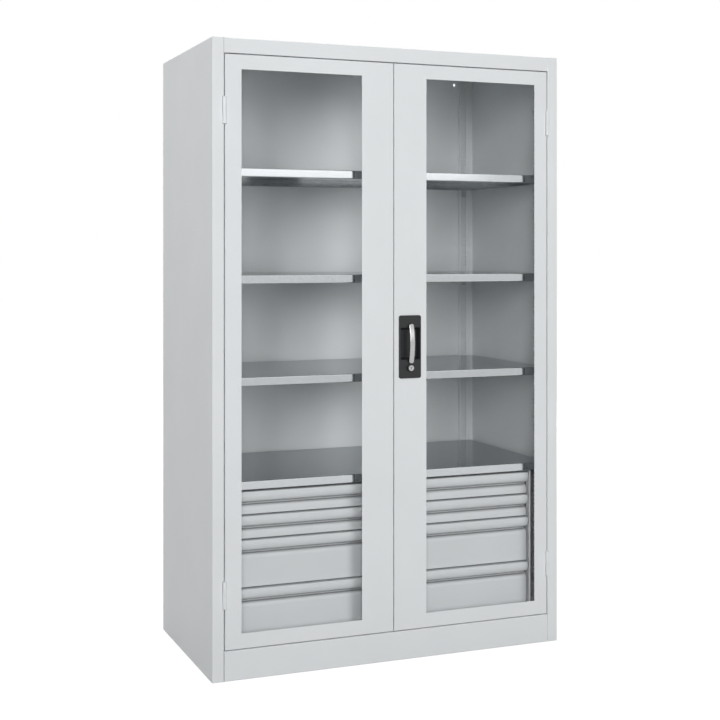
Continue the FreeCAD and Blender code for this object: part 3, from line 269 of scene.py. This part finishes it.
def clear_acrylic(name):
    """Clear pane with a trace of haze."""
    material, tree, shader, place = new_material(name)
    shader.inputs["Base Color"].default_value = ACRYLIC_TINT
    shader.inputs["Alpha"].default_value = ACRYLIC_ALPHA
    haze = noise(tree, place, HAZE_SCALE)
    tree.links.new(ranged(tree, haze, *HAZE_ROUGHNESS), shader.inputs["Roughness"])
    return material


def dress_pieces():
    """Give each CAD piece the finish that its material slot names."""
    finishes = {
        "paint": powder_coat("light_grey_coat", COAT_GREY),
        # The drawer coat carries painted shade in its tight corners
        "drawer_paint": powder_coat("drawer_coat_with_painted_shade", SHADED_DRAWER_GREY, with_painted_corner_shade=True),
        "galvanised": galvanised_sheet("galvanised", GALVANISED_GREY),
        "zinc": drawn_metal("zinc", ZINC_GREY, ZINC_ROUGHNESS, ZINC_GRAIN),
        "black_plastic": moulded_plastic("black_plastic", PLASTIC_BLACK, PLASTIC_ROUGHNESS,
                                         PLASTIC_GLOSS),
        "satin_metal": drawn_metal("satin_metal", SATIN_GREY, SATIN_ROUGHNESS, SATIN_GRAIN),
        "acrylic": clear_acrylic("acrylic"),
        "rubber": moulded_plastic("seal_rubber", RUBBER_BLACK, RUBBER_ROUGHNESS, RUBBER_GLOSS),
    }
    for subpart in frame["record"]["subparts"]:
        slots = nodes[subpart["node"]].data.materials
        slots.clear()
        slots.append(finishes[subpart["material_slot"]])


def math_node(tree, operation, first, second):
    """Two values worked into one; the second is an output or a plain number."""
    node = tree.nodes.new("ShaderNodeMath")
    node.operation = operation
    tree.links.new(first, node.inputs[0])
    if isinstance(second, (int, float)):
        node.inputs[1].default_value = second
    else:
        tree.links.new(second, node.inputs[1])
    return node.outputs[0]


def seen_directly(tree, mirrored=1.0):
    """1 for rays that show a background from the camera or through clear parts; less in a mirror."""
    path = tree.nodes.new("ShaderNodeLightPath").outputs
    mirror = math_node(tree, "MULTIPLY", path["Is Glossy Ray"], mirrored)
    seen = math_node(tree, "MAXIMUM", path["Is Camera Ray"], mirror)
    return math_node(tree, "MAXIMUM", seen, path["Is Transmission Ray"])


def make_world():
    """Dim, even light that is white where it is seen."""
    world = bpy.data.worlds.new("studio")
    bpy.context.scene.world = world
    world.use_nodes = True
    tree = world.node_tree
    background = tree.nodes["Background"]
    background.inputs["Color"].default_value = WHITE
    level = ranged(tree, seen_directly(tree), WORLD_LEVEL, BACKGROUND_WHITE, 0, 1)
    tree.links.new(level, background.inputs["Strength"])


def make_floor():
    """Pale floor that keeps the cabinet's shadow and runs into the white background."""
    bpy.ops.mesh.primitive_plane_add(size=FLOOR_SIZE, location=(0, 0, 0))
    floor = bpy.context.object
    floor.name = "floor"
    material, tree, shader, place = new_material("floor")
    shader.inputs["Base Color"].default_value = (FLOOR_ALBEDO, FLOOR_ALBEDO, FLOOR_ALBEDO, 1)
    shader.inputs["Roughness"].default_value = FLOOR_ROUGHNESS
    shader.inputs["Specular IOR Level"].default_value = 0.0
    shader.inputs["Emission Color"].default_value = WHITE
    reach = tree.nodes.new("ShaderNodeVectorMath")
    reach.operation = "LENGTH"
    tree.links.new(place, reach.inputs[0])
    far_lift = ranged(tree, reach.outputs["Value"], FLOOR_LIFT, BACKGROUND_WHITE,
                      FLOOR_NEAR, FLOOR_FAR)
    lift = math_node(tree, "MULTIPLY", seen_directly(tree, FLOOR_MIRRORED), far_lift)
    tree.links.new(lift, shader.inputs["Emission Strength"])
    floor.data.materials.append(material)


def softbox(name, place, size, watts, aim=FRONT_MIDDLE):
    """Rectangular lamp that faces a point."""
    lamp = bpy.data.lights.new(name, "AREA")
    lamp.shape = "RECTANGLE"
    lamp.size, lamp.size_y = size
    lamp.energy = watts
    holder = bpy.data.objects.new(name, lamp)
    bpy.context.scene.collection.objects.link(holder)
    holder.location = place
    direction = [a - p for a, p in zip(aim, place)]
    yaw = math.atan2(direction[1], direction[0]) - math.pi / 2
    pitch = math.atan2(direction[2], math.hypot(direction[0], direction[1])) + math.pi / 2
    holder.rotation_euler = (pitch, 0, yaw)
    return holder


def make_lights():
    """Lamps around the cabinet; two of those before it don't show in its metal."""
    front_right = softbox("front_right", place=(2.1, FRONT_LAMPS_Y, 2.0), size=(2.6, 2.0), watts=115)
    low_front = softbox("low_front", place=(0.6, FRONT_LAMPS_Y, 0.9), size=(2.0, 1.0), watts=35)
    for lamp in (front_right, low_front):
        lamp.visible_glossy = False
    softbox("high_right", place=(2.4, FRONT_LAMPS_Y, 2.6), size=(2.4, 1.4), watts=12)
    softbox("front_left", place=(-2.4, FRONT_LAMPS_Y, 2.7), size=(1.0, 2.5), watts=96)
    softbox("outer_left", place=(-3.7, FRONT_LAMPS_Y, 2.8), size=(1.2, 2.4), watts=68)
    softbox("high_left", place=(-1.6, -4.6, 4.6), size=(1.6, 1.2), watts=33, aim=(0, -0.3, 1.2))
    softbox("left", place=(-5.4, 0.2, 3.6), size=(2.6, 2.4), watts=112, aim=(-0.6, 0, 1.3))
    softbox("rear", place=(3.6, 5.0, 3.0), size=(3.0, 2.4), watts=300, aim=(0.2, 0.2, 1.0))
    softbox("top", place=(0, 0.5, 6.0), size=(2.0, 1.2), watts=85, aim=(0, 0.1, 1.95))


def make_camera():
    """The photograph's camera: level, with its picture shifted."""
    data = bpy.data.cameras.new("camera")
    data.sensor_fit = "HORIZONTAL"
    data.sensor_width = SENSOR
    data.lens = FOCAL_PIXELS * SENSOR / PICTURE
    data.shift_x = (PICTURE / 2 - CENTRE_PIXEL[0]) / PICTURE
    data.shift_y = -(PICTURE / 2 - CENTRE_PIXEL[1]) / PICTURE
    data.clip_start = CLIP_NEAR
    data.clip_end = CLIP_FAR
    holder = bpy.data.objects.new("camera", data)
    bpy.context.scene.collection.objects.link(holder)
    holder.location = CAMERA_PLACE
    holder.rotation_euler = (math.pi / 2, 0, CAMERA_YAW)
    bpy.context.scene.camera = holder


dress_pieces()
make_world()
make_floor()
make_lights()
make_camera()
bpy.context.scene.view_settings.view_transform = "Standard"
